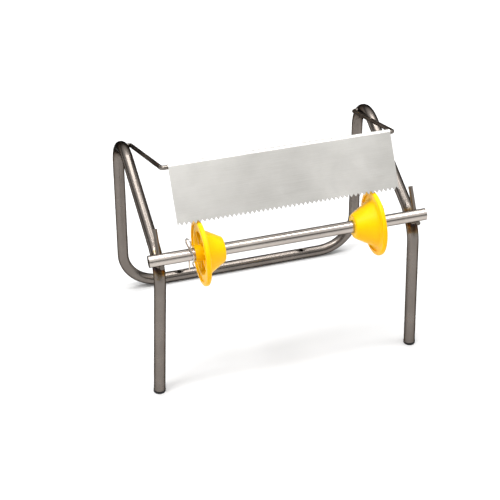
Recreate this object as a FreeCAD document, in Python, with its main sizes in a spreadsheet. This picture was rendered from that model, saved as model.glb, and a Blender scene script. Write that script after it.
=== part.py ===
"""Cling film dispenser: a bent tube frame that carries a roll bar with two sliding core
cones, and a toothed cutter blade on a hinged rod bow. Millimetres, +Z up, +Y to the rear.
The origin is on the table, under the middle of the whole dispenser."""
import FreeCAD, Part
import math
import os

import Sketcher
from FreeCAD import Placement, Rotation, Vector

# name, value, what it measures
SIZES = [
    ("tube_od", 16.0, "frame tube, outside diameter"),
    ("tube_wall", 1.5, "frame tube, wall"),
    ("frame_depth", 237.0, "front leg axis to rear upright axis"),
    ("front_height", 213.0, "height of the front bends, on the tube axis"),
    ("rear_height", 293.5, "height of the top rear bends, on the tube axis"),
    ("foot_outset", 6.0, "foot outside the top rear bend, axis to axis"),
    ("front_inset", 3.0, "front bend inside the top rear bend, axis to axis"),
    ("rear_outset", 4.0, "rear corner outside the top rear bend, axis to axis"),
    ("side_bend_r", 48.0, "bend radius of the front and top rear bends"),
    ("corner_bend_r", 56.0, "bend radius at the ends of the rear tube"),
    ("screw_spacing", 195.0, "between the two screw holes in the rear tube"),
    ("screw_hole_d", 7.0, "screw hole"),
    ("dimple_depth", 1.8, "depth of the pressed seat round a screw hole"),
    ("dimple_length", 18.0, "length of the pressed seat round a screw hole"),
    ("cap_height", 3.5, "visible height of a foot plug"),
    ("cap_rim", 0.3, "how far a foot plug stands out past its tube"),
    ("shank_length", 20.0, "depth of a foot plug inside its tube"),
    ("shank_gap", 0.2, "gap between a foot plug and its tube, on the radius"),
    ("bar_od", 16.0, "roll bar, outside diameter"),
    ("bar_wall", 1.5, "roll bar, wall"),
    ("bar_overhang", 14.0, "how far the centred roll bar stands out past each front bend's axis"),
    ("bar_shift", -3.2, "sideways rest position of the roll bar"),
    ("bar_forward", 11.0, "roll bar axis ahead of the front leg axis"),
    ("bar_above", 19.0, "roll bar axis above the front bends"),
    ("hook_rod_d", 6.0, "hook rod, diameter"),
    ("hook_stub_d", 5.0, "stub between a hook and the frame, diameter"),
    ("hook_gap", 0.3, "gap between the roll bar and a hook"),
    ("hook_prong", 40.0, "straight length of a hook behind the bar"),
    ("hook_wrap", 20.0, "how far a hook reaches forward of the bar's lowest line, degrees"),
    ("flange_d", 88.0, "cone flange, diameter"),
    ("flange_t", 3.0, "cone flange, thickness"),
    ("lip_t", 6.5, "thickness of the lip round the flange"),
    ("lip_width", 5.5, "width of the lip round the flange"),
    ("brim_width", 11.5, "flange rim to the root of the cone"),
    ("cone_tip_d", 32.0, "cone diameter at its small end"),
    ("cone_length", 31.5, "flange outer face to small end"),
    ("cone_wall", 2.6, "cone wall"),
    ("root_round", 6.0, "hollow rounding between a cone and its flange"),
    ("tip_round", 3.5, "rounding at the small end of a cone"),
    ("hub_wall", 2.5, "wall of the hub round the bar"),
    ("hub_gap", 0.3, "gap between the roll bar and a hub, on the radius"),
    ("hub_stand_out", 7.5, "how far a hub stands out past its flange"),
    ("rib_t", 2.4, "cone rib, thickness"),
    ("rib_count", 6, "ribs in each cone"),
    ("left_cone_x", -125.0, "outer face of the left cone's flange"),
    ("right_cone_x", 115.5, "outer face of the right cone's flange"),
    ("clip_wire_d", 2.0, "clip wire, diameter"),
    ("clip_hole_d", 2.8, "hole through the bar for a clip"),
    ("left_clip_standoff", 14.7, "left clip hole to the outer face of its flange"),
    ("right_clip_standoff", 9.2, "right clip hole to the outer face of its flange"),
    ("clip_rise", 16.0, "height of a clip's eye above the bar"),
    ("clip_tail", 15.0, "length of a clip's straight leg below the bar"),
    ("left_clip_turn", 25.0, "turn of the left clip about its straight leg, degrees"),
    ("right_clip_turn", 0.0, "turn of the right clip about its straight leg, degrees"),
    ("bow_rod_d", 6.0, "bow rod, diameter"),
    ("bow_hole_gap", 0.1, "gap between the bow and its hole, on the radius"),
    ("bow_side_gap", 6.0, "bow arm axis to the tube's inner face at the hinge"),
    ("bow_splay", 8.35, "how much wider each bow arm stands at the hinge than at the blade"),
    ("bow_lean", -3.35, "sideways lean of the bow's front end"),
    ("bow_end", 6.0, "length of a bow end inside the tube's inner face"),
    ("bow_root_bend_r", 5.0, "bend radius where the bow turns into the tubes"),
    ("bow_front_bend_r", 5.0, "bend radius at the ends of the cross rod"),
    ("blade_width", 300.0, "cutter blade, width"),
    ("blade_side_room", 6.65, "end of a centred blade to the bow arm's axis"),
    ("blade_drop", 76.2, "cross rod axis to the tips of the teeth"),
    ("blade_t", 1.2, "cutter blade, thickness"),
    ("blade_shift", 1.35, "sideways position of the blade on the bow"),
    ("blade_tilt", 34.1, "lean of the blade at rest, lower edge forward, degrees"),
    ("teeth_angle", 6.0, "where the teeth rest on the flanges, back from the top, degrees"),
    ("blade_rest_gap", 0.5, "gap between the teeth and the cone flanges at rest"),
    ("curl_gap", 0.05, "gap between the cross rod and the curled edge"),
    ("curl_end", 35.0, "how far the curl runs on past the back of the rod, degrees"),
    ("tooth_pitch", 6.0, "tooth to tooth"),
    ("tooth_depth", 4.2, "height of a tooth"),
]

os.makedirs("parts", exist_ok=True)
doc = FreeCAD.newDocument("cling_film_dispenser")
sheet = doc.addObject("Spreadsheet::Sheet", "Sizes")
for row, (name, number, note) in enumerate(SIZES, start=1):
    sheet.set(f"A{row}", note)
    sheet.set(f"B{row}", str(number))
    sheet.setAlias(f"B{row}", name)
doc.recompute()


def size(name):
    """A driving dimension, read from the sheet."""
    return float(sheet.get(name))


def radius(name):
    """Half of a driving diameter or spread."""
    return size(name) / 2


# ---- layout: the places that several pieces share ------------------------------------

tube_r = radius("tube_od")
bar_r = radius("bar_od")
overall_depth = radius("flange_d") + size("bar_forward") + size("frame_depth") + tube_r
bar_y = radius("flange_d") - overall_depth / 2
leg_y = bar_y + size("bar_forward")
rear_y = leg_y + size("frame_depth")
bar_z = size("front_height") + size("bar_above")
bar_axis = Vector(0, bar_y, bar_z)

# Half widths: the bow goes round the blade, and the frame round the bow.
bow_front_x = radius("blade_width") + size("blade_side_room")
bow_root_x = bow_front_x + size("bow_splay")
tube_face_x = bow_root_x + size("bow_side_gap")
top_x = tube_face_x + tube_r
front_x = top_x - size("front_inset")
bar_length = 2 * (front_x + size("bar_overhang"))

# The right half of the frame tube's axis, from the foot to the rear corner.
foot_point = Vector(top_x + size("foot_outset"), leg_y, 0)
front_point = Vector(front_x, leg_y, size("front_height"))
top_point = Vector(top_x, rear_y, size("rear_height"))
corner_point = Vector(top_x + size("rear_outset"), rear_y, tube_r)
foot_lean = math.degrees(math.atan2(foot_point.x - front_point.x, front_point.z))


def mirrored(point):
    """The same point on the other side of the dispenser."""
    return Vector(-point.x, point.y, point.z)


def unit(vector):
    """The vector's direction, one long."""
    return vector / vector.Length


def bend_middle(before, corner, after, bend_r):
    """The middle of the arc that rounds a corner, and the inward direction there."""
    back = unit(before - corner)
    ahead = unit(after - corner)
    inward = unit(back + ahead)
    half_angle = back.getAngle(ahead) / 2
    return corner + inward * (bend_r / math.sin(half_angle) - bend_r), inward


front_bend, front_inward = bend_middle(foot_point, front_point, top_point, size("side_bend_r"))
hinge, _ = bend_middle(front_point, top_point, corner_point, size("side_bend_r"))


# ---- helpers ---------------------------------------------------------------------------

def bind(target, prop, expression):
    """Tie a property to the sheet."""
    target.setExpression(prop, expression)


def origin_item(body, role):
    """One of a body's own origin planes or axes."""
    return next(item for item in body.Origin.OriginFeatures if item.Role == role)


def new_body(name):
    """An empty PartDesign body."""
    return doc.addObject("PartDesign::Body", name)


def sketch_on(body, role, name):
    """A sketch on one of the body's origin planes."""
    sketch = body.newObject("Sketcher::SketchObject", name)
    sketch.AttachmentSupport = (origin_item(body, role), "")
    sketch.MapMode = "FlatFace"
    return sketch


def add_circle(sketch, diameter_expression, diameter):
    """A circle about the sketch's origin with a bound diameter."""
    index = sketch.addGeometry(Part.Circle(Vector(), Vector(0, 0, 1), diameter / 2), False)
    sketch.addConstraint(Sketcher.Constraint("Coincident", index, 3, -1, 1))
    constraint = sketch.addConstraint(Sketcher.Constraint("Diameter", index, diameter))
    bind(sketch, f"Constraints[{constraint}]", diameter_expression)


def add_polygon(sketch, corners):
    """A closed outline. Each corner is (across, up), both written as sheet expressions."""
    numbers = [[float(sheet.evalExpression(text)) for text in corner] for corner in corners]
    count = len(corners)
    first = sketch.GeometryCount
    for index in range(count):
        start = Vector(*numbers[index], 0)
        end = Vector(*numbers[(index + 1) % count], 0)
        sketch.addGeometry(Part.LineSegment(start, end), False)
    for index in range(count):
        line = first + index
        following = first + (index + 1) % count
        sketch.addConstraint(Sketcher.Constraint("Coincident", line, 2, following, 1))
    for index, (texts, values) in enumerate(zip(corners, numbers)):
        for kind, text, value in zip(("DistanceX", "DistanceY"), texts, values):
            rule = Sketcher.Constraint(kind, -1, 1, first + index, 1, value)
            constraint = sketch.addConstraint(rule)
            bind(sketch, f"Constraints[{constraint}]", text)


def rounded_route(name, points, radii):
    """A wire of straight runs joined by tangent arcs, one radius for each inner point."""
    edges = []
    run_start = points[0]
    for index, bend_r in enumerate(radii, start=1):
        before, corner, after = points[index - 1:index + 2]
        back = unit(before - corner)
        ahead = unit(after - corner)
        setback = bend_r / math.tan(back.getAngle(ahead) / 2)
        arc_start = corner + back * setback
        arc_end = corner + ahead * setback
        arc_middle, _ = bend_middle(before, corner, after, bend_r)
        edges.append(Part.LineSegment(run_start, arc_start).toShape())
        edges.append(Part.Arc(arc_start, arc_middle, arc_end).toShape())
        run_start = arc_end
    edges.append(Part.LineSegment(run_start, points[-1]).toShape())
    route = doc.addObject("Part::Feature", name)
    route.Shape = Part.Wire(edges)
    return route


def swept_rod(name, route, radius_expression):
    """A round rod along a route."""
    start_edge = route.Shape.OrderedEdges[0]
    start = start_edge.valueAt(start_edge.FirstParameter)
    heading = start_edge.tangentAt(start_edge.FirstParameter)
    section = doc.addObject("Part::Circle", name + "_section")
    bind(section, "Radius", radius_expression)
    section.Placement = Placement(start, Rotation(Vector(0, 0, 1), heading))
    rod = doc.addObject("Part::Sweep", name)
    rod.Sections = [section]
    rod.Spine = (route, [f"Edge{number + 1}" for number in range(len(route.Shape.Edges))])
    rod.Solid = True
    rod.Frenet = False
    return rod


def cylinder(name, radius_expression, start, heading, length):
    """A cylinder with a bound radius, from a point along a direction."""
    solid = doc.addObject("Part::Cylinder", name)
    bind(solid, "Radius", radius_expression)
    solid.Height = length
    solid.Placement = Placement(start, Rotation(Vector(0, 0, 1), heading))
    return solid


def ball(name, radius_expression, centre):
    """A sphere with a bound radius."""
    solid = doc.addObject("Part::Sphere", name)
    bind(solid, "Radius", radius_expression)
    solid.Placement = Placement(centre, Rotation())
    return solid


def cut(name, base, tools):
    """The base less its tools."""
    if len(tools) == 1:
        tool = tools[0]
    else:
        tool = doc.addObject("Part::MultiFuse", name + "_tools")
        tool.Shapes = tools
    result = doc.addObject("Part::Cut", name)
    result.Base = base
    result.Tool = tool
    return result


def revolve_about(body, sketch, axis, name):
    """A full revolution of a sketch about one of its own axes."""
    turned = body.newObject("PartDesign::Revolution", name)
    turned.Profile = sketch
    turned.ReferenceAxis = (sketch, [axis])
    turned.Angle = 360
    body.Tip = turned
    return turned


def round_edges(body, base, wanted, radius_expression, name):
    """Round the base's circular edges that have one of the wanted (radius, x) pairs."""
    doc.recompute()
    found = []
    for number, edge in enumerate(base.Shape.Edges, start=1):
        if not isinstance(edge.Curve, Part.Circle):
            continue
        for edge_r, edge_x in wanted:
            if abs(edge.Curve.Radius - edge_r) < 0.01 and abs(edge.Curve.Center.x - edge_x) < 0.01:
                found.append(f"Edge{number}")
    rounded = body.newObject("PartDesign::Fillet", name)
    rounded.Base = (base, found)
    bind(rounded, "Radius", radius_expression)
    body.Tip = rounded
    return rounded


# ---- frame tube ------------------------------------------------------------------------

def make_frame_tube():
    """One bent tube: leg, rail and upright on each side, and the rear tube between them."""
    leg_up = unit(front_point - foot_point)
    tube_start = foot_point + leg_up * (size("cap_height") / leg_up.z)
    right = [tube_start, front_point, top_point, corner_point]
    points = right + [mirrored(point) for point in reversed(right)]
    side_r = size("side_bend_r")
    corner_r = size("corner_bend_r")
    route = rounded_route(
        "frame_route", points, [side_r, side_r, corner_r, corner_r, side_r, side_r])
    outer = swept_rod("frame_outer", route, "Sizes.tube_od / 2")
    inner = swept_rod("frame_inner", route, "Sizes.tube_od / 2 - Sizes.tube_wall")

    # Each screw seat is a ball pressed into the top of the tube. The bore is dented by
    # the same ball grown by the wall, so that the wall keeps its thickness.
    ball_r = ("((Sizes.dimple_length / 2) ^ 2 + Sizes.dimple_depth ^ 2)"
              " / (2 * Sizes.dimple_depth)")
    ball_z = size("tube_od") - size("dimple_depth") + float(sheet.evalExpression(ball_r))
    dents = []
    inner_dents = []
    drills = []
    for side, x in (("left", -radius("screw_spacing")), ("right", radius("screw_spacing"))):
        centre = Vector(x, rear_y, ball_z)
        dents.append(ball("dent_" + side, ball_r, centre))
        inner_dents.append(ball("inner_dent_" + side, ball_r + " + Sizes.tube_wall", centre))
        below = Vector(x, rear_y, -tube_r)
        drills.append(cylinder(
            "screw_drill_" + side, "Sizes.screw_hole_d / 2", below, Vector(0, 0, 1),
            2 * size("tube_od")))
    for side, start, inward in (
            ("left", mirrored(hinge), Vector(1, 0, 0)), ("right", hinge, Vector(-1, 0, 0))):
        drills.append(cylinder(
            "hinge_drill_" + side, "Sizes.bow_rod_d / 2 + Sizes.bow_hole_gap",
            start, inward, size("tube_od")))
    dented_outer = cut("frame_dented", outer, dents)
    dented_inner = cut("frame_bore", inner, inner_dents)
    hollow = cut("frame_hollow", dented_outer, [dented_inner])
    return cut("frame_tube", hollow, drills), outer


# ---- foot plugs ------------------------------------------------------------------------

def make_foot_plug(side, sign):
    """A push-in plastic plug: a cap with a flat underside and a hollow shank."""
    body = new_body("foot_plug_" + side + "_body")
    sketch = sketch_on(body, "XZ_Plane", "plug_profile_" + side)
    cap_r = "Sizes.tube_od / 2 + Sizes.cap_rim"
    shank_r = "Sizes.tube_od / 2 - Sizes.tube_wall - Sizes.shank_gap"
    core_r = "Sizes.tube_od / 4"
    overhang = "-Sizes.cap_height"
    add_polygon(sketch, [
        ("0", overhang),
        (cap_r + " - 1", overhang),
        (cap_r, overhang + " + 1"),
        (cap_r, "Sizes.cap_height"),
        (shank_r, "Sizes.cap_height"),
        (shank_r, "Sizes.cap_height + Sizes.shank_length - 2"),
        (shank_r + " - 1", "Sizes.cap_height + Sizes.shank_length"),
        (core_r, "Sizes.cap_height + Sizes.shank_length"),
        (core_r, "Sizes.cap_height"),
        ("0", "Sizes.cap_height"),
    ])
    revolve_about(body, sketch, "V_Axis", "plug_turned_" + side)
    body.Placement = Placement(
        Vector(sign * foot_point.x, foot_point.y, 0), Rotation(Vector(0, 1, 0), -sign * foot_lean))

    # The leg leans, so the cap is cut level where it meets the table.
    table = doc.addObject("Part::Box", "table_under_" + side)
    for prop in ("Length", "Width", "Height"):
        bind(table, prop, "Sizes.tube_od * 3")
    table.Placement = Placement(
        Vector(sign * foot_point.x - 1.5 * size("tube_od"), foot_point.y - 1.5 * size("tube_od"),
               -3 * size("tube_od")), Rotation())
    return cut("foot_plug_" + side, body, [table])


# ---- cradle hooks ----------------------------------------------------------------------

def make_cradle_hook(side, sign, frame_outer):
    """A rod bent round the back and underside of the bar, on a stub welded to the bend."""
    hook_x = sign * front_bend.x
    centre = Vector(hook_x, bar_y, bar_z)
    away = Vector(0, front_inward.y, front_inward.z)
    away.normalize()
    along = Vector(0, -away.z, away.y)
    reach = bar_r + size("hook_gap") + radius("hook_rod_d")
    wrap = math.radians(size("hook_wrap"))
    under = Vector(0, -math.sin(wrap), -math.cos(wrap))
    half_way = unit(away + under)
    arc = Part.Arc(centre + under * reach, centre + half_way * reach, centre + away * reach)
    prong_foot = centre + away * reach
    prong = Part.LineSegment(prong_foot, prong_foot + along * size("hook_prong"))
    route = doc.addObject("Part::Feature", "hook_route_" + side)
    route.Shape = Part.Wire([arc.toShape(), prong.toShape()])
    rod = swept_rod("hook_rod_" + side, route, "Sizes.hook_rod_d / 2")

    weld_point = Vector(hook_x, front_bend.y, front_bend.z)
    to_tube = unit(weld_point - centre)
    stub = cylinder(
        "hook_stub_" + side, "Sizes.hook_stub_d / 2", centre + to_tube * reach, to_tube,
        (weld_point - centre).Length - reach)
    joined = doc.addObject("Part::Fuse", "hook_joined_" + side)
    joined.Base = rod
    joined.Tool = stub
    return cut("cradle_hook_" + side, joined, [frame_outer])


# ---- roll bar --------------------------------------------------------------------------

def clip_places():
    """The clip holes along the bar, from the bar's own middle."""
    left = size("left_cone_x") - size("left_clip_standoff") - size("bar_shift")
    right = size("right_cone_x") + size("right_clip_standoff") - size("bar_shift")
    return left, right


def make_roll_bar():
    """A straight open tube with a cross hole for each clip."""
    body = new_body("roll_bar")
    ring = sketch_on(body, "YZ_Plane", "bar_ring")
    add_circle(ring, "Sizes.bar_od", size("bar_od"))
    add_circle(ring, "Sizes.bar_od - 2 * Sizes.bar_wall", size("bar_od") - 2 * size("bar_wall"))
    pad = body.newObject("PartDesign::Pad", "bar_pad")
    pad.Profile = ring
    pad.SideType = "Symmetric"
    pad.Length = bar_length
    body.Tip = pad
    doc.recompute()
    solid_volume = pad.Shape.Volume

    holes = sketch_on(body, "XY_Plane", "clip_holes")
    places = (
        (clip_places()[0], "Sizes.left_cone_x - Sizes.left_clip_standoff - Sizes.bar_shift"),
        (clip_places()[1], "Sizes.right_cone_x + Sizes.right_clip_standoff - Sizes.bar_shift"),
    )
    for x, text in places:
        index = holes.addGeometry(
            Part.Circle(Vector(x, 0, 0), Vector(0, 0, 1), radius("clip_hole_d")), False)
        holes.addConstraint(Sketcher.Constraint("PointOnObject", index, 3, -1))
        place = holes.addConstraint(Sketcher.Constraint("DistanceX", -1, 1, index, 3, x))
        bind(holes, f"Constraints[{place}]", text)
        width = holes.addConstraint(Sketcher.Constraint("Diameter", index, size("clip_hole_d")))
        bind(holes, f"Constraints[{width}]", "Sizes.clip_hole_d")
    drilled = body.newObject("PartDesign::Pocket", "clip_pocket")
    drilled.Profile = holes
    drilled.Type = "ThroughAll"
    drilled.SideType = "Symmetric"
    body.Tip = drilled
    doc.recompute()
    if not drilled.Shape.Volume < solid_volume:
        raise RuntimeError("the clip holes cut nothing")
    body.Placement = Placement(Vector(size("bar_shift"), bar_y, bar_z), Rotation())
    return body


# ---- cones -----------------------------------------------------------------------------

def make_cone(side):
    """A core holder: a lipped flange, a hollow tapered cone, a hub and ribs inside it."""
    body = new_body("cone_" + side)
    root_r = "(Sizes.flange_d / 2 - Sizes.brim_width)"
    tip_r = "Sizes.cone_tip_d / 2"
    rim_r = "Sizes.flange_d / 2"
    bore_r = "Sizes.bar_od / 2 + Sizes.hub_gap"
    hub_r = bore_r + " + Sizes.hub_wall"
    end_x = "Sizes.cone_length"
    lip_r = rim_r + " - Sizes.lip_width"
    inner_end = "Sizes.cone_length - Sizes.cone_wall"
    profile = sketch_on(body, "XZ_Plane", "cone_profile_" + side)
    add_polygon(profile, [
        ("0", root_r + " - Sizes.cone_wall"),
        ("0", lip_r),
        ("-(Sizes.lip_t - Sizes.flange_t) / 2", lip_r),
        ("-(Sizes.lip_t - Sizes.flange_t) / 2", rim_r),
        ("(Sizes.lip_t + Sizes.flange_t) / 2", rim_r),
        ("(Sizes.lip_t + Sizes.flange_t) / 2", lip_r),
        ("Sizes.flange_t", lip_r),
        ("Sizes.flange_t", root_r),
        (end_x, tip_r),
        (end_x, bore_r),
        ("-Sizes.hub_stand_out", bore_r),
        ("-Sizes.hub_stand_out", hub_r),
        (inner_end, hub_r),
        (inner_end, tip_r + " - Sizes.cone_wall"),
    ])
    turned = revolve_about(body, profile, "H_Axis", "cone_turned_" + side)
    flange_t = size("flange_t")
    lip_back = -(size("lip_t") - flange_t) / 2
    lip_front = (size("lip_t") + flange_t) / 2
    lip_rounded = round_edges(
        body, turned,
        [(radius("flange_d"), lip_back), (radius("flange_d"), lip_front)],
        "min(Sizes.lip_t; Sizes.lip_width) * 0.45", "lip_rounding_" + side)
    tip_rounded = round_edges(
        body, lip_rounded, [(radius("cone_tip_d"), size("cone_length"))],
        "Sizes.tip_round", "tip_rounding_" + side)
    round_edges(
        body, tip_rounded, [(radius("flange_d") - size("brim_width"), flange_t)],
        "Sizes.root_round", "root_rounding_" + side)

    rib_sketch = sketch_on(body, "XZ_Plane", "rib_profile_" + side)
    inside = "Sizes.hub_wall / 2"
    add_polygon(rib_sketch, [
        ("1.5", bore_r + " + " + inside),
        ("1.5", root_r + " - Sizes.cone_wall * 0.6"),
        (inner_end + " + Sizes.cone_wall / 2", hub_r),
        (inner_end + " + Sizes.cone_wall / 2", bore_r + " + " + inside),
    ])
    rib = body.newObject("PartDesign::Pad", "rib_" + side)
    rib.Profile = rib_sketch
    rib.SideType = "Symmetric"
    bind(rib, "Length", "Sizes.rib_t")
    body.Tip = rib
    ribs = body.newObject("PartDesign::PolarPattern", "ribs_" + side)
    ribs.Originals = [rib]
    ribs.Axis = (rib_sketch, ["H_Axis"])
    ribs.Angle = 360
    bind(ribs, "Occurrences", "Sizes.rib_count")
    body.Tip = ribs
    if side == "left":
        body.Placement = Placement(Vector(size("left_cone_x"), bar_y, bar_z), Rotation())
    else:
        body.Placement = Placement(
            Vector(size("right_cone_x"), bar_y, bar_z), Rotation(Vector(0, 0, 1), 180))
    return body


# ---- clips -----------------------------------------------------------------------------

def make_clip(side, sign, place):
    """An R-clip: a straight leg through the bar, an eye on top and an arm round the front."""
    clip_wire = size("clip_wire_d")
    wire_r = clip_wire / 2
    turn = math.radians(size(side + "_clip_turn"))
    bulge = bar_r / math.cos(turn) + wire_r + 0.4
    neck = 2 * wire_r + 0.6
    shoulder = bar_r + 2.2 * clip_wire
    eye_back = -2.75 * clip_wire
    eye_front = 2 * clip_wire
    eye_top = bar_r + size("clip_rise")
    eye_low = eye_top - 3.9 * clip_wire
    outline = [
        (0, -bar_r - size("clip_tail")),
        (0, shoulder - wire_r),
        (eye_back, eye_low),
        (eye_back, eye_top),
        (eye_front, eye_top),
        (eye_front, eye_low),
        (neck, shoulder),
        (bulge, bar_r * 0.6),
        (bulge, -bar_r / 2),
        (bulge - 1.8 * clip_wire, -bar_r - clip_wire),
        (bulge, -bar_r - 3 * clip_wire),
    ]
    radii = [turn_r * clip_wire for turn_r in (2, 2, 1.9, 1.9, 2, 1, 3, 3, 0.75)]
    forward = Vector(-sign * math.sin(turn), -math.cos(turn), 0)
    centre = Vector(place + size("bar_shift"), bar_y, bar_z)
    points = [centre + forward * across + Vector(0, 0, up) for across, up in outline]
    route = rounded_route("clip_route_" + side, points, radii)
    return swept_rod("clip_" + side, route, "Sizes.clip_wire_d / 2")


# ---- bow and blade ---------------------------------------------------------------------

def cross_rod_place():
    """The cross rod's axis at rest, with the teeth just off the cone flanges."""
    around = math.radians(size("teeth_angle"))
    tilt = math.radians(size("blade_tilt"))
    clear = radius("flange_d") + size("blade_rest_gap")
    teeth = bar_axis + Vector(0, math.sin(around), math.cos(around)) * clear
    up_blade = Vector(0, math.sin(tilt), math.cos(tilt))
    behind_blade = Vector(0, math.cos(tilt), -math.sin(tilt))
    curl_r = radius("bow_rod_d") + size("curl_gap") + size("blade_t") / 2
    return teeth + up_blade * size("blade_drop") + behind_blade * curl_r


def make_blade_bow():
    """One bent rod: ends turned out into the tubes, two arms and the cross rod."""
    end = Vector(tube_face_x + size("bow_end"), hinge.y, hinge.z)
    root = Vector(bow_root_x, hinge.y, hinge.z)
    front = Vector(bow_front_x, cross_rod.y, cross_rod.z)
    lean = Vector(size("bow_lean"), 0, 0)
    points = [end, root, front + lean, mirrored(front) + lean, mirrored(root), mirrored(end)]
    root_r = size("bow_root_bend_r")
    front_r = size("bow_front_bend_r")
    route = rounded_route("bow_route", points, [root_r, front_r, front_r, root_r])
    return swept_rod("blade_bow", route, "Sizes.bow_rod_d / 2")


def make_cutter_blade():
    """A toothed sheet whose upper edge is curled over the cross rod."""
    body = new_body("cutter_blade")
    sketch = sketch_on(body, "YZ_Plane", "blade_profile")
    inner_r = radius("bow_rod_d") + size("curl_gap")
    outer_r = inner_r + size("blade_t")
    drop = size("blade_drop")
    stop = -math.radians(size("curl_end"))
    middle = Vector(0, 0, 0)
    normal = Vector(0, 0, 1)

    def on_circle(circle_r, angle):
        return Vector(circle_r * math.cos(angle), circle_r * math.sin(angle), 0)

    sketch.addGeometry([
        Part.ArcOfCircle(Part.Circle(middle, normal, outer_r), stop, math.pi),
        Part.LineSegment(Vector(-outer_r, 0, 0), Vector(-outer_r, -drop, 0)),
        Part.LineSegment(Vector(-outer_r, -drop, 0), Vector(-inner_r, -drop, 0)),
        Part.LineSegment(Vector(-inner_r, -drop, 0), Vector(-inner_r, 0, 0)),
        Part.ArcOfCircle(Part.Circle(middle, normal, inner_r), stop, math.pi),
        Part.LineSegment(on_circle(inner_r, stop), on_circle(outer_r, stop)),
    ], False)
    rules = [
        ("Coincident", 0, 3, -1, 1), ("Coincident", 4, 3, -1, 1),
        ("Coincident", 0, 2, 1, 1), ("Coincident", 1, 2, 2, 1), ("Coincident", 2, 2, 3, 1),
        ("Coincident", 3, 2, 4, 2), ("Coincident", 4, 1, 5, 1), ("Coincident", 5, 2, 0, 1),
        ("Vertical", 1), ("Vertical", 3), ("Horizontal", 2), ("PointOnObject", 3, 2, -1),
        ("PointOnObject", 1, 1, -1),
    ]
    for rule in rules:
        sketch.addConstraint(Sketcher.Constraint(*rule))
    inner_text = "Sizes.bow_rod_d / 2 + Sizes.curl_gap"
    for arc, number, text in ((0, outer_r, inner_text + " + Sizes.blade_t"), (4, inner_r, inner_text)):
        constraint = sketch.addConstraint(Sketcher.Constraint("Radius", arc, number))
        bind(sketch, f"Constraints[{constraint}]", text)
    constraint = sketch.addConstraint(Sketcher.Constraint("DistanceY", 1, 2, 1, 1, drop))
    bind(sketch, f"Constraints[{constraint}]", "Sizes.blade_drop")
    sheet_pad = body.newObject("PartDesign::Pad", "blade_sheet")
    sheet_pad.Profile = sketch
    sheet_pad.SideType = "Symmetric"
    bind(sheet_pad, "Length", "Sizes.blade_width")
    body.Tip = sheet_pad
    doc.recompute()
    plain_volume = sheet_pad.Shape.Volume

    notch = sketch_on(body, "XZ_Plane", "notch_profile")
    left = "-Sizes.blade_width / 2"
    add_polygon(notch, [
        (left, "-Sizes.blade_drop"),
        (left + " + Sizes.tooth_pitch / 2", "-Sizes.blade_drop + Sizes.tooth_depth"),
        (left + " + Sizes.tooth_pitch", "-Sizes.blade_drop"),
        (left + " + Sizes.tooth_pitch", "-Sizes.blade_drop - Sizes.tooth_depth"),
        (left, "-Sizes.blade_drop - Sizes.tooth_depth"),
    ])
    first_notch = body.newObject("PartDesign::Pocket", "first_notch")
    first_notch.Profile = notch
    first_notch.Type = "ThroughAll"
    first_notch.SideType = "Symmetric"
    body.Tip = first_notch
    notches = body.newObject("PartDesign::LinearPattern", "notches")
    notches.Originals = [first_notch]
    notches.Direction = (notch, ["H_Axis"])
    bind(notches, "Length", "Sizes.blade_width - Sizes.tooth_pitch")
    bind(notches, "Occurrences", "round(Sizes.blade_width / Sizes.tooth_pitch)")
    body.Tip = notches
    doc.recompute()
    if not notches.Shape.Volume < plain_volume:
        raise RuntimeError("the notches cut nothing")

    body.Placement = Placement(
        Vector(size("bow_lean") + size("blade_shift"), cross_rod.y, cross_rod.z),
        Rotation(Vector(1, 0, 0), -size("blade_tilt")))
    return body


# ---- the whole dispenser ---------------------------------------------------------------

frame_tube, frame_outer = make_frame_tube()
cross_rod = cross_rod_place()
left_place, right_place = clip_places()
pieces = {
    "frame_tube": frame_tube,
    "foot_plug_left": make_foot_plug("left", -1),
    "foot_plug_right": make_foot_plug("right", 1),
    "cradle_hook_left": make_cradle_hook("left", -1, frame_outer),
    "cradle_hook_right": make_cradle_hook("right", 1, frame_outer),
    "roll_bar": make_roll_bar(),
    "cone_left": make_cone("left"),
    "cone_right": make_cone("right"),
    "clip_left": make_clip("left", -1, left_place),
    "clip_right": make_clip("right", 1, right_place),
    "blade_bow": make_blade_bow(),
    "cutter_blade": make_cutter_blade(),
}
doc.recompute()

for item in doc.Objects:
    if {"Invalid", "Error"} & set(item.State):
        raise RuntimeError(f"{item.Name} failed: {item.State}")
for node, piece in pieces.items():
    piece.Label = node
    shape = piece.Shape
    if shape.isNull() or not shape.isValid() or len(shape.Solids) != 1:
        raise RuntimeError(f"{node} is not one good solid")
    shape.exportStep(f"parts/{node}.step")
    print(node, round(shape.Volume), "cubic mm")
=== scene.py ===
"""Looks for the cling film dispenser: materials, weld beads, studio and camera, built
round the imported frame. Metres, +Z up, +Y to the rear."""
import math

import bpy
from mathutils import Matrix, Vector


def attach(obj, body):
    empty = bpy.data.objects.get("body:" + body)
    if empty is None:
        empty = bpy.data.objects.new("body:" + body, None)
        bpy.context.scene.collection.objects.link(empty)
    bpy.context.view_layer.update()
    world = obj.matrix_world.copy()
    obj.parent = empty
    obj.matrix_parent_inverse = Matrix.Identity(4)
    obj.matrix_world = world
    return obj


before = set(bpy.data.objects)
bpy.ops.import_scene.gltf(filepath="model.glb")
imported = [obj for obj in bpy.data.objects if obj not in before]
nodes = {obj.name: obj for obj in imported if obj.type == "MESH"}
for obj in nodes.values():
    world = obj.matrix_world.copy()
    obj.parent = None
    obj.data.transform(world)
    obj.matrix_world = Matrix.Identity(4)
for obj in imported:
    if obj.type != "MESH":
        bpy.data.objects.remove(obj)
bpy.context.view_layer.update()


# ---- sizes and places ------------------------------------------------------------------

MM = 0.001

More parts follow.
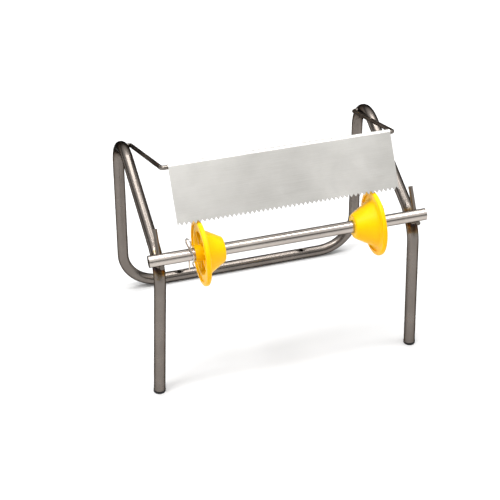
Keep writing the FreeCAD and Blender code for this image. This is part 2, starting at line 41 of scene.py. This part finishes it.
# The blade at rest leans back from its teeth to its curl. The curl point is by the curl's
# front, and the painted shade on the cut edges starts a little below it.
BLADE_LEAN = math.radians(34.1)
UP_BLADE = (0, math.sin(BLADE_LEAN), math.cos(BLADE_LEAN))
OUT_OF_BLADE = (0, -math.cos(BLADE_LEAN), math.sin(BLADE_LEAN))
CURL_POINT = (0, -0.0585, 0.3405)
EDGE_SHADE_FULL = -6 * MM
EDGE_SHADE_NONE = -4 * MM

# Where the hook stubs meet the front bends, and the way from there towards the bar.
FRONT_BEND_X = 0.1765
WELD_Y = -0.0910
WELD_Z = 0.2129
WELDS = [(side * FRONT_BEND_X, WELD_Y, WELD_Z) for side in (-1, 1)]
TOWARDS_BAR = (0, -0.618, 0.786)

# Half lengths of a weld bead, in millimetres, and how far its heat colours reach.
WELD_LONG = 5.4
WELD_WIDE = 4.6
WELD_HIGH = 2.4
HEAT_ON_TUBE = 0.020
HEAT_ON_HOOK = 0.014

FLOOR_SIZE = 14
FLOOR_GREY = 0.70
LIGHTS_TARGET = (0, 0, 0.1)


# ---- looks -----------------------------------------------------------------------------

# A noise is stretched by these. ALONG_X draws polishing lines along the bar.
ALONG_X = (8, 900, 900)
ALONG_BLADE = (30, 1600, 1600)
EVEN = (400, 400, 400)

# The parts of a noise's range that become a full change of colour or of roughness.
COLOUR_RANGE = (0.35, 0.65)
ROUGH_RANGE = (0.3, 0.7)

# A metal's edge colour is what it shows at a glancing angle. This near-black one is painted
# shade: it darkens the glancing sides of the steel as dark surroundings would.
EDGE_PAINTED_SHADE = (0.01, 0.009, 0.008)

WHITE = (1.0, 1.0, 1.0)
STRAW = (0.95, 0.78, 0.50)
BROWN = (0.62, 0.38, 0.22)
VIOLET = (0.30, 0.26, 0.30)
HEAT_COLOURS = ((0.0, WHITE), (0.3, STRAW), (0.6, BROWN), (0.9, VIOLET))

SHEET_LIGHT = (0.84, 0.82, 0.775)
SHEET_SHADE = (0.69, 0.672, 0.63)
SHEET_SMUDGE = (0.68, 0.665, 0.63)
SHEET_LINE = (0.95, 0.94, 0.92)
# SHEET_PAINTED_EDGE_SHADE is painted shade for the blade's cut edges and teeth flanks.
SHEET_PAINTED_EDGE_SHADE = (0.16, 0.15, 0.14)

# Grey of the surroundings by height: pale up to the horizon, then a dark band, then
# bright overhead.
SURROUNDINGS = ((0.0, 0.90), (0.12, 0.75), (0.19, 0.10), (0.32, 0.06),
                (0.46, 0.62), (0.60, 0.92), (0.8, 1.3), (1.0, 1.6))


# ---- shader helpers --------------------------------------------------------------------

def fill_ramp(node, stops):
    """Set a colour ramp's stops, each a position and a colour."""
    elements = node.color_ramp.elements
    while len(elements) < len(stops):
        elements.new(0.5)
    for element, (position, colour) in zip(elements, stops):
        element.position = position
        element.color = (*colour, 1)


def shaded(colour, red, green, blue):
    """A colour with each channel scaled."""
    return (colour[0] * red, colour[1] * green, colour[2] * blue)


class Shader:
    """A material's node tree, with short calls for the nodes used below."""

    def __init__(self, name):
        self.material = bpy.data.materials.new(name)
        self.material.use_nodes = True
        self.tree = self.material.node_tree
        self.tree.nodes.clear()
        output = self.tree.nodes.new("ShaderNodeOutputMaterial")
        self.surface = self.tree.nodes.new("ShaderNodeBsdfPrincipled")
        self.link(self.surface.outputs["BSDF"], output.inputs["Surface"])
        coordinates = self.tree.nodes.new("ShaderNodeTexCoord").outputs
        self.place = coordinates["Object"]
        self.normal = coordinates["Normal"]

    def link(self, source, target):
        self.tree.links.new(source, target)

    def feed(self, source, target):
        """Link an output, or set a plain value."""
        if isinstance(source, bpy.types.NodeSocket):
            self.link(source, target)
        else:
            target.default_value = source

    def set(self, **values):
        """Set the surface's own sockets."""
        for name, value in values.items():
            self.feed(value, self.surface.inputs[name.replace("_", " ")])

    def math(self, operation, first, second=0.0):
        node = self.tree.nodes.new("ShaderNodeMath")
        node.operation = operation
        self.feed(first, node.inputs[0])
        self.feed(second, node.inputs[1])
        return node.outputs[0]

    def vector_math(self, operation, source, vector):
        """A number worked out from two vectors."""
        node = self.tree.nodes.new("ShaderNodeVectorMath")
        node.operation = operation
        self.link(source, node.inputs[0])
        node.inputs[1].default_value = vector
        return node.outputs["Value"]

    def distance_from(self, spot):
        """How far each point lies from a spot, in metres."""
        return self.vector_math("DISTANCE", self.place, spot)

    def along(self, source, direction):
        """How far a vector reaches along a direction."""
        return self.vector_math("DOT_PRODUCT", source, direction)

    def stretched(self, scale):
        """Object coordinates times a scale for each axis."""
        node = self.tree.nodes.new("ShaderNodeMapping")
        self.link(self.place, node.inputs["Vector"])
        node.inputs["Scale"].default_value = scale
        return node.outputs["Vector"]

    def noise(self, scale, detail, stretch=(1, 1, 1), roughness=0.5):
        node = self.tree.nodes.new("ShaderNodeTexNoise")
        self.link(self.stretched(stretch), node.inputs["Vector"])
        node.inputs["Scale"].default_value = scale
        node.inputs["Detail"].default_value = detail
        node.inputs["Roughness"].default_value = roughness
        return node.outputs["Fac"]

    def remap(self, value, low, high, to_low, to_high):
        node = self.tree.nodes.new("ShaderNodeMapRange")
        self.link(value, node.inputs["Value"])
        for name, number in zip(("From Min", "From Max", "To Min", "To Max"),
                                (low, high, to_low, to_high)):
            node.inputs[name].default_value = number
        return node.outputs["Result"]

    def ramp(self, value, stops):
        node = self.tree.nodes.new("ShaderNodeValToRGB")
        self.link(value, node.inputs["Fac"])
        fill_ramp(node, stops)
        return node.outputs["Color"]

    def mix(self, factor, first, second, blend="MIX"):
        node = self.tree.nodes.new("ShaderNodeMix")
        node.data_type = "RGBA"
        node.blend_type = blend
        self.feed(factor, node.inputs["Factor"])
        for name, value in (("A", first), ("B", second)):
            socket = [s for s in node.inputs if s.name == name and s.type == "RGBA"][0]
            if isinstance(value, tuple):
                value = (*value, 1)
            self.feed(value, socket)
        return [s for s in node.outputs if s.type == "RGBA"][0]

    def bump(self, height, distance, strength, normal=None):
        node = self.tree.nodes.new("ShaderNodeBump")
        node.inputs["Strength"].default_value = strength
        node.inputs["Distance"].default_value = distance
        self.link(height, node.inputs["Height"])
        if normal is not None:
            self.link(normal, node.inputs["Normal"])
        return node.outputs["Normal"]

    def set_normal(self, normal):
        self.link(normal, self.surface.inputs["Normal"])


# ---- materials -------------------------------------------------------------------------

def steel(name, colour, edge, roughness, grain):
    """Satin stainless steel, cloudy and scuffed. Grain stretches its polishing lines. A dark edge
    colour paints shade on its glancing sides.
    """
    shader = Shader(name)
    cloud = shader.noise(22, 4)
    lines = shader.noise(1, 5, stretch=grain, roughness=0.65)
    specks = shader.noise(900, 2)
    scuffs = shader.remap(shader.noise(60, 6, stretch=(1, 1, 2.5), roughness=0.7), 0.60, 0.72, 0, 1)
    dull = shaded(colour, 0.80, 0.80, 0.80)
    warm = shaded(colour, 1.02, 0.97, 0.90)
    scuffed = shaded(colour, 0.62, 0.62, 0.62)
    base = shader.mix(shader.remap(cloud, *COLOUR_RANGE, 0, 1), dull, colour)
    base = shader.mix(shader.remap(lines, *COLOUR_RANGE, 0, 0.35), base, warm)
    base = shader.mix(shader.math("MULTIPLY", scuffs, 0.35), base, scuffed)
    shader.set(Metallic=1.0, Base_Color=base, Specular_Tint=(*edge, 1))
    rough = shader.remap(cloud, *ROUGH_RANGE, roughness - 0.05, roughness + 0.06)
    rough = shader.math("ADD", rough, shader.remap(lines, *ROUGH_RANGE, -0.03, 0.03))
    rough = shader.math("ADD", rough, shader.math("MULTIPLY", scuffs, 0.10))
    shader.set(Roughness=rough)
    fine = shader.bump(specks, 0.01 * MM, 0.15)
    shader.set_normal(shader.bump(lines, 0.02 * MM, 0.35, fine))
    return shader


def heat_tint(shader, spots, reach):
    """Straw and brown heat colours on steel round its welds."""
    base = shader.surface.inputs["Base Color"].links[0].from_socket
    for spot in spots:
        away = shader.distance_from(spot)
        wobble = shader.remap(shader.noise(160, 3), *ROUGH_RANGE, -0.25 * reach, 0.25 * reach)
        away = shader.math("ADD", away, wobble)
        heat = shader.remap(away, 0.25 * reach, reach, 1.0, 0.0)
        base = shader.mix(1.0, base, shader.ramp(heat, HEAT_COLOURS), "MULTIPLY")
    shader.set(Base_Color=base)


def edge_shade_mask(shader):
    """Mask of painted shade: one on the blade's sheared edges and the flanks of its teeth, else
    nothing.
    """
    facing = shader.math("ABSOLUTE", shader.along(shader.normal, OUT_OF_BLADE))
    turned_away = shader.remap(facing, 0.4, 0.6, 1.0, 0.0)
    curl_height = sum(a * b for a, b in zip(CURL_POINT, UP_BLADE))
    height = shader.math("SUBTRACT", shader.along(shader.place, UP_BLADE), curl_height)
    below_curl = shader.remap(height, EDGE_SHADE_FULL, EDGE_SHADE_NONE, 1.0, 0.0)
    return shader.math("MULTIPLY", turned_away, below_curl)


def sheet_steel(name):
    """Cold rolled sheet: faint lines along the width, clouds, smudges, and painted shade on the cut
    edges and teeth flanks.
    """
    shader = Shader(name)
    cloud = shader.noise(9, 5, roughness=0.6)
    smudge = shader.remap(shader.noise(26, 5, stretch=(1, 1.6, 1.6), roughness=0.7), 0.52, 0.72, 0, 1)
    lines = shader.noise(1, 4, stretch=ALONG_BLADE, roughness=0.6)
    base = shader.mix(shader.remap(cloud, *COLOUR_RANGE, 0, 1), SHEET_SHADE, SHEET_LIGHT)
    base = shader.mix(shader.math("MULTIPLY", smudge, 0.45), base, SHEET_SMUDGE)
    base = shader.mix(shader.remap(lines, *COLOUR_RANGE, 0, 0.22), base, SHEET_LINE)
    # Painted shade: the cut edges and teeth flanks are darkened.
    base = shader.mix(edge_shade_mask(shader), base, SHEET_PAINTED_EDGE_SHADE)
    shader.set(Metallic=1.0, Base_Color=base, Specular_Tint=(0.75, 0.75, 0.75, 1))
    rough = shader.remap(cloud, *ROUGH_RANGE, 0.30, 0.38)
    rough = shader.math("ADD", rough, shader.math("MULTIPLY", smudge, 0.10))
    shader.set(Roughness=rough)
    shader.set_normal(shader.bump(lines, 0.01 * MM, 0.4))
    return shader


def plastic(name, colour, roughness, skin_depth, shine, glow):
    """Moulded plastic with clouds, rub marks and a fine skin. Glow is light let through."""
    shader = Shader(name)
    cloud = shader.noise(28, 4)
    skin = shader.noise(1400, 2)
    rubs = shader.remap(shader.noise(75, 6, stretch=(3, 1, 1), roughness=0.7), 0.60, 0.70, 0, 1)
    dark = shaded(colour, 0.95, 0.88, 1.0)
    pale = tuple(min(1.0, 0.9 * c + 0.05) for c in colour)
    base = shader.mix(shader.remap(cloud, *COLOUR_RANGE, 0, 1), dark, colour)
    base = shader.mix(shader.math("MULTIPLY", rubs, 0.25), base, pale)
    shader.set(Base_Color=base, IOR=1.48, Specular_IOR_Level=shine)
    shader.set(Subsurface_Weight=glow, Subsurface_Scale=4 * MM, Subsurface_Radius=(1.0, 0.35, 0.05))
    rough = shader.remap(cloud, *ROUGH_RANGE, roughness - 0.04, roughness + 0.06)
    shader.set(Roughness=shader.math("ADD", rough, shader.math("MULTIPLY", rubs, 0.12)))
    shader.set_normal(shader.bump(skin, skin_depth, 0.5))
    return shader


def paint(names, shader):
    """Give CAD nodes a material."""
    for name in names:
        mesh = nodes[name].data
        mesh.materials.clear()
        mesh.materials.append(shader.material)


# The frame's base colour is kept far darker than plain steel: painted shade standing for the dark
# surroundings its tubes reflect.
frame_steel = steel("frame_steel", (0.19, 0.168, 0.152), EDGE_PAINTED_SHADE, roughness=0.24, grain=EVEN)
heat_tint(frame_steel, WELDS, HEAT_ON_TUBE)
paint(["frame_tube"], frame_steel)

bar_steel = steel("bar_steel", (0.50, 0.455, 0.42), EDGE_PAINTED_SHADE, roughness=0.20, grain=ALONG_X)
paint(["roll_bar"], bar_steel)

# The hook's dark edge colour is painted shade on its glancing sides.
hook_steel = steel("hook_steel", (0.22, 0.195, 0.172), (0.05, 0.045, 0.04), roughness=0.32, grain=EVEN)
heat_tint(hook_steel, WELDS, HEAT_ON_HOOK)
paint(["cradle_hook_left", "cradle_hook_right"], hook_steel)

# The bow's dark edge colour is painted shade on its glancing sides.
bow_steel = steel("bow_steel", (0.24, 0.215, 0.195), (0.03, 0.03, 0.03), roughness=0.30, grain=EVEN)
paint(["blade_bow"], bow_steel)

clip_steel = steel("clip_steel", (0.62, 0.60, 0.57), (0.4, 0.4, 0.4), roughness=0.22, grain=EVEN)
paint(["clip_left", "clip_right"], clip_steel)

paint(["cutter_blade"], sheet_steel("blade_sheet"))

yellow = plastic("yellow_plastic", (0.95, 0.54, 0.0), roughness=0.34, skin_depth=0.01 * MM,
                 shine=0.12, glow=0.12)
paint(["cone_left", "cone_right"], yellow)

black = plastic("black_plastic", (0.018, 0.018, 0.018), roughness=0.60, skin_depth=0.03 * MM,
                shine=0.15, glow=0.0)
paint(["foot_plug_left", "foot_plug_right"], black)


# ---- weld beads ------------------------------------------------------------------------

def weld_bead(name, place, outward):
    """A lumpy fillet of weld metal round a hook's stub."""
    bpy.ops.mesh.primitive_uv_sphere_add(segments=40, ring_count=24, radius=1.0)
    bead = bpy.context.object
    bead.name = name
    for vertex in bead.data.vertices:
        around = math.atan2(vertex.co.y, vertex.co.x)
        ripple = 1 + 0.07 * math.sin(9 * around) + 0.05 * math.sin(4 * around + 1.0)
        vertex.co = Vector((vertex.co.x * ripple * WELD_LONG * MM,
                            vertex.co.y * ripple * WELD_WIDE * MM,
                            vertex.co.z * WELD_HIGH * MM))
    for face in bead.data.polygons:
        face.use_smooth = True
    bead.location = place
    bead.rotation_euler = Vector(outward).to_track_quat("Z", "Y").to_euler()
    return bead


# The weld's dark edge colour is painted shade on its glancing sides.
weld_steel = steel("weld_steel", (0.20, 0.165, 0.14), (0.1, 0.09, 0.08), roughness=0.42, grain=EVEN)
for side, place in zip(("left", "right"), WELDS):
    bead = weld_bead("weld_bead_" + side, place, TOWARDS_BAR)
    bead.data.materials.append(weld_steel.material)
    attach(bead, "frame")


# ---- studio ----------------------------------------------------------------------------

def make_floor():
    """A wide pale floor."""
    bpy.ops.mesh.primitive_plane_add(size=FLOOR_SIZE, location=(0, 0, 0))
    floor = bpy.context.object
    floor.name = "floor"
    shader = Shader("floor_paint")
    shader.set(Base_Color=(FLOOR_GREY, FLOOR_GREY, FLOOR_GREY, 1), Roughness=0.9)
    floor.data.materials.append(shader.material)


def make_light(name, place, width, height, power):
    """A rectangular soft light, turned to the object."""
    data = bpy.data.lights.new(name, "AREA")
    data.shape = "RECTANGLE"
    data.size = width
    data.size_y = height
    data.energy = power
    light = bpy.data.objects.new(name, data)
    bpy.context.scene.collection.objects.link(light)
    light.location = place
    towards = Vector(LIGHTS_TARGET) - Vector(place)
    light.rotation_euler = towards.to_track_quat("-Z", "Y").to_euler()


def make_world():
    """Studio surroundings, a grey for each height."""
    world = bpy.data.worlds.new("studio")
    bpy.context.scene.world = world
    world.use_nodes = True
    tree = world.node_tree
    background = tree.nodes["Background"]
    direction = tree.nodes.new("ShaderNodeTexCoord")
    split = tree.nodes.new("ShaderNodeSeparateXYZ")
    ramp = tree.nodes.new("ShaderNodeValToRGB")
    tree.links.new(direction.outputs["Generated"], split.inputs["Vector"])
    tree.links.new(split.outputs["Z"], ramp.inputs["Fac"])
    tree.links.new(ramp.outputs["Color"], background.inputs["Color"])
    fill_ramp(ramp, [(height, (grey, grey, grey)) for height, grey in SURROUNDINGS])
    background.inputs["Strength"].default_value = 1.0


def make_camera():
    """The camera: where it looks, from which side, and how far off it stands."""
    azimuth = math.radians(-16.34)
    elevation = math.radians(36.47)
    distance = 1.9595
    target = Vector((-0.02635, 0.00140, 0.14005))
    towards = Vector((-math.sin(azimuth) * math.cos(elevation),
                      math.cos(azimuth) * math.cos(elevation), -math.sin(elevation)))
    data = bpy.data.cameras.new("camera")
    data.lens = 100.44
    data.sensor_width = 36
    data.clip_end = 50
    camera = bpy.data.objects.new("camera", data)
    bpy.context.scene.collection.objects.link(camera)
    camera.location = target - towards * distance
    camera.rotation_euler = towards.to_track_quat("-Z", "Y").to_euler()
    bpy.context.scene.camera = camera


make_floor()
make_light("key", (-1.5, -0.6, 2.6), width=0.8, height=0.8, power=22)
make_light("strip", (0, -0.25, 2.8), width=3.2, height=0.40, power=46)
make_light("back", (0, 0.95, 2.8), width=2.4, height=0.4, power=26)
make_light("fill", (2.4, -1.4, 1.7), width=1.5, height=1.5, power=8)
make_world()
bpy.context.scene.view_settings.view_transform = "Standard"
make_camera()
